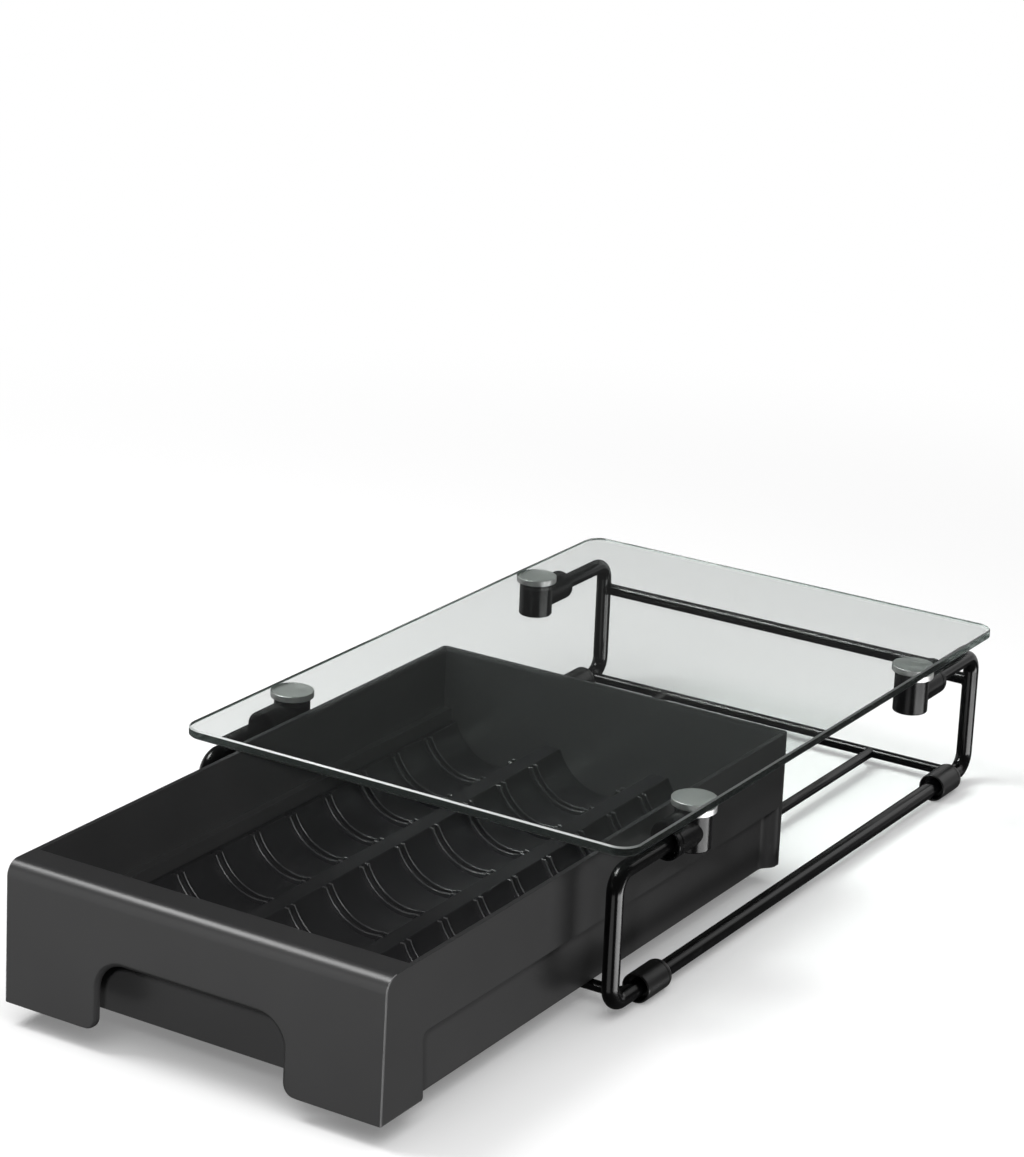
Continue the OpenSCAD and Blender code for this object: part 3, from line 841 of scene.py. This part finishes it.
def recess_cut(side):
    """Recess along one lower side, ending at the rear in a smooth S."""
    z0 = drawer_z0 - past
    front = block_y1 - block_draft
    rear = drawer_y1 + past
    outline = [(block_y1 - block_corner_r - recess_lead, z0), (rear, z0), (rear, recess_z1)]
    outline += arc((front + recess_r, recess_z1 - recess_r), recess_r, 90, 180, 8)
    outline += arc((block_y1 - block_corner_r, drawer_z0 + block_corner_r), block_corner_r, 0, -80, 6)
    x0 = lower_w / 2
    x1 = drawer_w / 2 + past
    steps = 32
    plan = [(x1, drawer_y0), (x0, drawer_y0)]
    for i in range(steps + 1):
        y = recess_y1 - recess_end_l * (1 - i / steps)
        plan.append((x0 + recess_rise(y), y))
    plan.append((x1, recess_y1))
    plan = [(side * x, y) for x, y in plan]
    return combined(prism(outline, "x", -drawer_w, drawer_w),
                    [prism(plan, "z", z0 - past, recess_z1 + past)], "INTERSECT")


def under_cut():
    """Shallow space under the drawer's floor."""
    half = lower_inner_w / 2
    outline = rectangle((-half, inner_y(floor_z0)), (half, inner_y1))
    return prism(outline, "z", drawer_z0 - past, floor_z0)


def handle_cut():
    """Arch through the front panel, its feet flaring outwards."""
    half = handle_w / 2
    foot_z = drawer_z0 + handle_foot_r
    right = [(half + handle_foot_r, drawer_z0 - past)]
    right += arc((half + handle_foot_r, foot_z), handle_foot_r, 270, 180, 10)
    right += arc((half - handle_top_r, handle_top - handle_top_r), handle_top_r, 0, 90, 16)
    left = [(-x, z) for x, z in reversed(right)]
    return prism(right + left, "y", drawer_y0 - past, drawer_y0 + front_lean + front_t + past)


def lip_width(edge):
    """Rounding of the hand opening's front edge, which fades out at its feet."""
    if edge.calc_face_angle(0) < SHARP:
        return 0
    a, b = (v.co for v in edge.verts)
    middle = (a + b) / 2
    on_front = all(abs(p.y - front_y(p.z)) < near for p in (a, b))
    on_bottom = max(a.z, b.z) < drawer_z0 + near
    in_arch = abs(middle.x) < handle_w / 2 + handle_foot_r + near and middle.z < handle_top + near
    if on_bottom or not on_front or not in_arch:
        return 0
    share = min(1, (middle.z - drawer_z0) / handle_foot_r)
    return handle_lip * (handle_lip_foot + (1 - handle_lip_foot) * share)


def shell_width(edge):
    """Rounding of the drawer's other edges, changed bit by bit where edges run on into each other."""
    if edge.calc_face_angle(0) < SHARP:
        return 0
    middle = (edge.verts[0].co + edge.verts[1].co) / 2
    width = edge_r
    if not edge.is_convex:
        width = inside_edge_r
    elif abs(middle.x) > drawer_w / 2 - near and middle.y < block_y1 + recess_r:
        round_share = max(0, middle.z - front_round_z) / front_round_r
        width = front_edge_r - (front_edge_r - edge_r) * round_share
    if abs(middle.z - recess_z1) < near and abs(middle.x) > lower_w / 2 - near:
        if edge.is_convex:
            width = front_edge_r
        width = min(width, recess_edge_share * (recess_x - recess_rise(middle.y)))
    return width


def drawer_shell():
    """The drawer's body, with a painted highlight: pale plastic on the roundings of its upright front
    edges.
    """
    cuts = [inside_cut(inner_w, recess_z1 + wall_t), inside_cut(lower_inner_w, floor_z1), hollow_cut()]
    cuts += [recess_cut(sign) for sign in SIDES.values()]
    cuts += [under_cut(), handle_cut()]
    form = combined(shell_form(), cuts, "DIFFERENCE")
    form = bevelled(form, lip_width, 6)
    form = bevelled(form, shell_width, 2)
    for vertex in form.verts:
        vertex.co.x = max(-drawer_w / 2, min(drawer_w / 2, vertex.co.x))
        vertex.co.y = max(drawer_y0, vertex.co.y)
        vertex.co.z = max(drawer_z0, vertex.co.z)
    shell = piece("drawer_body", form, drawer_plastic, "drawer", sharp=40)
    shell.data.materials.append(painted_highlight_plastic)
    # The roundings of the upright front edges take the pale plastic: a painted highlight
    least, most = highlight_slant
    for polygon in shell.data.polygons:
        x, y = polygon.center.xy / MM
        on_edge = abs(x) > drawer_w / 2 - front_edge_r and y < ledge_y1
        if on_edge and least < abs(polygon.normal.x) < most:
            polygon.material_index = 1
    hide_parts("drawer_shell")


def soft_block(low, high, edge_width):
    """A block with rounded edges."""
    return bevelled(prism(rectangle(low, high), "z", low[2], high[2]), lambda edge: edge_width, 2)


def skids_and_stops():
    """Skids that run on the rails, and the stops beside them that meet the front crossbar."""
    rail_low, rail_high = box_mm("rail_right")
    rail_x = (rail_low.x + rail_high.x) / 2
    wall_y = ledge_y1 + inner_lean - wall_t / 2
    low_z = drawer_z0 - stop_drop
    root_z = floor_z0 + root_in
    top_z = drawer_z0 + stop_root_h
    front_y0 = front_stop_y - stop_t
    rear_y1 = rear_stop_y + stop_t
    parts = []
    for sign in SIDES.values():
        x0 = sign * rail_x - skid_w / 2
        x1 = sign * rail_x + skid_w / 2
        parts.append(soft_block((x0, wall_y, drawer_z0), (x1, inner_y1 + root_in, root_z), skid_edge_r))
        x0 = sign * (rail_x + stop_offset) - stop_w / 2
        x1 = sign * (rail_x + stop_offset) + stop_w / 2
        parts.append(soft_block((x0, front_y0, low_z), (x1, front_stop_y, top_z), edge_r))
        parts.append(soft_block((x0, front_y0, drawer_z0), (x1, wall_y, top_z), edge_r))
        parts.append(soft_block((x0, rear_stop_y, low_z), (x1, rear_y1, root_z), edge_r))
    piece("drawer_skids_and_stops", joined(parts), drawer_plastic, "drawer")


# ---------------------------------------------------------------- pod tray

def tray_sheet():
    """Deck and three troughs of one sheet thickness, drawn along the tray."""
    upper = [(-tray_half, deck_z)]
    for x in lane_xs:
        upper += arc((x, lane_z), trough_r, 180 + trough_angle, 360 - trough_angle, trough_steps)
    upper += [(tray_half, deck_z)]
    lower_r = trough_r + tray_t
    low_angle = math.degrees(math.asin((deck_drop + tray_t) / lower_r))
    leg_x = tray_half - tray_t
    lower = [(tray_half, floor_z1), (leg_x, floor_z1), (leg_x, deck_z - tray_t)]
    for x in reversed(lane_xs):
        bottom = arc((x, lane_z), lower_r, 360 - low_angle, 180 + low_angle, trough_steps)
        lower += [(px, max(pz, floor_z1 + trough_lift)) for px, pz in bottom]
    lower += [(-leg_x, deck_z - tray_t), (-leg_x, floor_z1), (-tray_half, floor_z1)]
    return upper + lower


def end_plate():
    """Plate across the tray's end, under the deck."""
    half = tray_half - plate_inset
    top = deck_z - plate_inset
    radius = trough_r + plate_inset
    outline = [(-half, top)]
    for x in lane_xs:
        outline += arc((x, lane_z), radius, 180 + trough_angle, 360 - trough_angle, trough_steps)
    outline += [(half, top), (half, floor_z1), (-half, floor_z1)]
    return outline


def deck_edge(edge):
    """Rounding where the troughs meet the deck, and along the tray's outer edges."""
    if edge.calc_face_angle(0) < SHARP:
        return 0
    middle = (edge.verts[0].co + edge.verts[1].co) / 2
    return deck_edge_r if middle.z > deck_z - near else under_edge_r


def rib(x, y):
    """A low crescent across a trough, its inner edge rounded."""
    low_angle = math.degrees(math.asin(deck_drop / rib_r))
    outer_r = trough_r + tray_t / 2
    outer_angle = math.degrees(math.asin(deck_drop / outer_r))
    steps = 24
    rings = []
    for along, inset in ((0, rib_edge), (rib_edge, 0), (rib_t - rib_edge, 0), (rib_t, rib_edge)):
        inner = arc((x, lane_z), rib_r + inset, 180 + low_angle, 360 - low_angle, steps)
        outer = arc((x, lane_z), outer_r, 360 - outer_angle, 180 + outer_angle, steps)
        rings.append([(px, y + along, min(pz, deck_z - inset)) for px, pz in inner + outer])
    return rings_mesh(rings)


def pod_tray():
    """Tray of three lanes: the sheet, a plate at each end and two ribs at every pod's place."""
    y0, y1 = tray_low.y, tray_high.y
    parts = [bevelled(prism(tray_sheet(), "y", y0, y1), deck_edge, 3)]
    for start in (y0 + plate_inset, y1 - tray_t - plate_inset):
        parts.append(bevelled(prism(end_plate(), "y", start, start + tray_t), deck_edge, 2))
    count = int((y1 - y0) // place_pitch)
    first = (y0 + y1 - (count - 1) * place_pitch) / 2
    for x in lane_xs:
        for i in range(count):
            for offset in (-slot_w / 2 - rib_t, slot_w / 2):
                parts.append(rib(x, first + i * place_pitch + offset))
    # The tray's dark plastic is painted shade for the inside of the drawer
    tray = piece("lane_tray", joined(parts), tray_plastic, "drawer")
    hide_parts("pod_tray")


# ---------------------------------------------------------------- stage, light and camera

floor_half = 9000            # in millimetres
floor_tone = 0.76
floor_glow = 0.215
plain_from = 0.45            # distance from the middle, in metres, where the floor starts to turn white
plain_to = 1.15
front_light = 0.06           # strength of the world's light where it is strongest and weakest
rear_light = 0.035
light_turn = 60              # the direction of the strongest, in degrees
light_rise = 15
weak_at = -0.4               # cosine of the angle to that direction where the light is weakest
strong_at = 0.8
camera_place = (0.89805, -1.47528, 0.75012)
camera_turn = 31.69          # in degrees, as are the tilt and the roll
camera_tilt = 18.46
camera_roll = 2.27
camera_lens = 108.48


def floor():
    """Pale floor that takes the object's shadows and turns plain white far from it."""
    bm = bmesh.new()
    bmesh.ops.create_grid(bm, x_segments=8, y_segments=8, size=floor_half)
    obj = new_object("stage_floor", bm)
    obj.data.transform(Matrix.Scale(MM, 4))
    obj.visible_diffuse = False
    obj.visible_glossy = False
    obj.visible_shadow = False
    material, tree, shader, add = new_material("stage_floor")
    tree.nodes.remove(shader)
    matt = add("ShaderNodeBsdfDiffuse")
    matt.inputs["Color"].default_value = (floor_tone, floor_tone, floor_tone, 1)
    glow = add("ShaderNodeEmission")
    glow.inputs["Strength"].default_value = floor_glow
    lifted = add("ShaderNodeAddShader")
    tree.links.new(matt.outputs["BSDF"], lifted.inputs[0])
    tree.links.new(glow.outputs["Emission"], lifted.inputs[1])
    far = add("ShaderNodeEmission")
    coordinates = add("ShaderNodeTexCoord")
    distance = add("ShaderNodeVectorMath")
    distance.operation = "LENGTH"
    tree.links.new(coordinates.outputs["Object"], distance.inputs[0])
    fade = ranged_by(tree, add, distance.outputs["Value"], 0, 1, plain_from, plain_to)
    mix = add("ShaderNodeMixShader")
    tree.links.new(fade, mix.inputs["Fac"])
    tree.links.new(lifted.outputs["Shader"], mix.inputs[1])
    tree.links.new(far.outputs["Emission"], mix.inputs[2])
    tree.links.new(mix.outputs["Shader"], tree.nodes["Material Output"].inputs["Surface"])
    obj.data.materials.append(material)


def unit(turn, rise):
    """A direction from the object, in degrees: turned from the front to the right, and raised."""
    a, e = math.radians(turn), math.radians(rise)
    return Vector((math.sin(a) * math.cos(e), -math.cos(a) * math.cos(e), math.sin(e)))


def soft_light(name, turn, rise, distance, width, height, power, target=(0, 0, 0.05), lit=()):
    """A soft box aimed at target: turn and rise in degrees, lengths in metres, power in watts.

    Where lit names some pieces, its light falls on them alone.
    """
    data = bpy.data.lights.new(name, "AREA")
    data.shape = "RECTANGLE"
    data.size = width
    data.size_y = height
    data.energy = power
    obj = bpy.data.objects.new(name, data)
    offset = unit(turn, rise) * distance
    obj.location = Vector(target) + offset
    obj.rotation_euler = offset.to_track_quat("Z", "Y").to_euler()
    bpy.context.scene.collection.objects.link(obj)
    if lit:
        receivers = bpy.data.collections.new(name)
        for lit_piece in lit:
            receivers.objects.link(lit_piece)
        obj.light_linking.receiver_collection = receivers


def world_light():
    """White to the eye. Its light is dim, strongest from the front right, weakest from the rear left."""
    world = bpy.data.worlds.new("studio")
    bpy.context.scene.world = world
    world.use_nodes = True
    tree = world.node_tree
    add = tree.nodes.new
    around = tree.nodes["Background"]
    around.inputs["Color"].default_value = (1, 1, 1, 1)
    direction = add("ShaderNodeTexCoord")
    towards = add("ShaderNodeVectorMath")
    towards.operation = "DOT_PRODUCT"
    towards.inputs[1].default_value = unit(light_turn, light_rise)
    tree.links.new(direction.outputs["Generated"], towards.inputs[0])
    level = ranged_by(tree, add, towards.outputs["Value"], rear_light, front_light, weak_at, strong_at)
    tree.links.new(level, around.inputs["Strength"])
    seen = add("ShaderNodeBackground")
    seen.inputs["Color"].default_value = (1, 1, 1, 1)
    rays = add("ShaderNodeLightPath")
    mix = add("ShaderNodeMixShader")
    tree.links.new(rays.outputs["Is Camera Ray"], mix.inputs["Fac"])
    tree.links.new(around.outputs["Background"], mix.inputs[1])
    tree.links.new(seen.outputs["Background"], mix.inputs[2])
    tree.links.new(mix.outputs["Shader"], tree.nodes["World Output"].inputs["Surface"])


def camera():
    """Camera at the photograph's place, looking down on the drawer from the front right."""
    turn, roll = math.radians(camera_turn), math.radians(camera_roll)
    right = Vector((math.cos(turn), math.sin(turn), 0))
    back = unit(camera_turn, camera_tilt)
    up = back.cross(right)
    rolled_right = math.cos(roll) * right + math.sin(roll) * up
    rolled_up = math.cos(roll) * up - math.sin(roll) * right
    data = bpy.data.cameras.new("camera")
    data.lens = camera_lens
    data.sensor_width = 36
    data.clip_end = 50
    obj = bpy.data.objects.new("camera", data)
    matrix = Matrix((rolled_right, rolled_up, back)).transposed().to_4x4()
    matrix.translation = Vector(camera_place)
    obj.matrix_world = matrix
    bpy.context.scene.collection.objects.link(obj)
    bpy.context.scene.camera = obj


def studio():
    """Floor, world and camera, and the lamps, each of which lights only what it is for."""
    scene = bpy.context.scene
    scene.view_settings.view_transform = "Standard"
    scene.view_settings.look = "None"
    floor()
    world_light()
    camera()
    upright = Vector((rod_x, upright_front_y, 60)) * MM
    block = Vector((drawer_w / 2, block_y1, 50)) * MM
    ground = [bpy.data.objects["stage_floor"]]
    glass = [bpy.data.objects["glass_shelf"]]
    pieces = [obj for obj in scene.objects if obj.type == "MESH"]
    drawer = [obj for obj in pieces if obj.name.startswith("drawer_") or obj.name == "lane_tray"]
    discs = [obj for obj in pieces if obj.name.startswith("bonding_disc")]
    others = [obj for obj in pieces if obj not in drawer]
    stand = [obj for obj in others if obj not in ground + glass]

    # The photograph's own light: a lamp on the upper left, and a broad one overhead for the floor
    soft_light("key_left", -66, 57, 2.2, 0.8, 0.8, 24, lit=others)
    soft_light("key_drawer", -66, 57, 2.2, 1.2, 0.45, 13, lit=drawer)
    soft_light("key_glass", -57, 54, 1.8, 0.7, 0.7, 6, lit=glass)
    soft_light("overhead", 40, 74, 2.2, 3.4, 3.4, 68, lit=ground)

    # Highlights: long ones along the rods, and sheens on the drawer's side, its front edge and the discs
    soft_light("strip_right", 102, -23.5, 1.2, 1.5, 0.24, 7.5, upright, lit=stand)
    soft_light("strip_front", 6, -24, 1.2, 0.9, 0.35, 1.0, upright, lit=stand)
    soft_light("strip_side", 72, 46, 0.75, 0.31, 0.13, 1.2, block, lit=drawer)
    soft_light("sheen_side", 143, -27, 1.0, 0.45, 0.5, 0.2, block, lit=drawer)
    soft_light("outline", 25, 30, 1.4, 0.1, 0.1, 12.5, block, lit=drawer)
    soft_light("disc_sheen", 210, 34, 1.4, 0.8, 0.8, 6, lit=discs)

    # Fills: they keep the dark parts readable from every side
    soft_light("fill_front", -32, 4, 1.4, 1.4, 1.4, 2.45, lit=drawer)
    soft_light("fill_left", -95, 2, 1.4, 1.6, 1.0, 2.8, lit=drawer + stand)
    soft_light("fill_rear", 175, 8, 1.4, 1.4, 1.2, 2.9, lit=drawer + stand)
    soft_light("rim_rear", 158, 30, 1.4, 1.1, 0.9, 1.5, lit=stand)


glass_shelf()
connectors()
rods_and_bars()
feet()
drawer_shell()
skids_and_stops()
pod_tray()
studio()

bpy.context.view_layer.update()
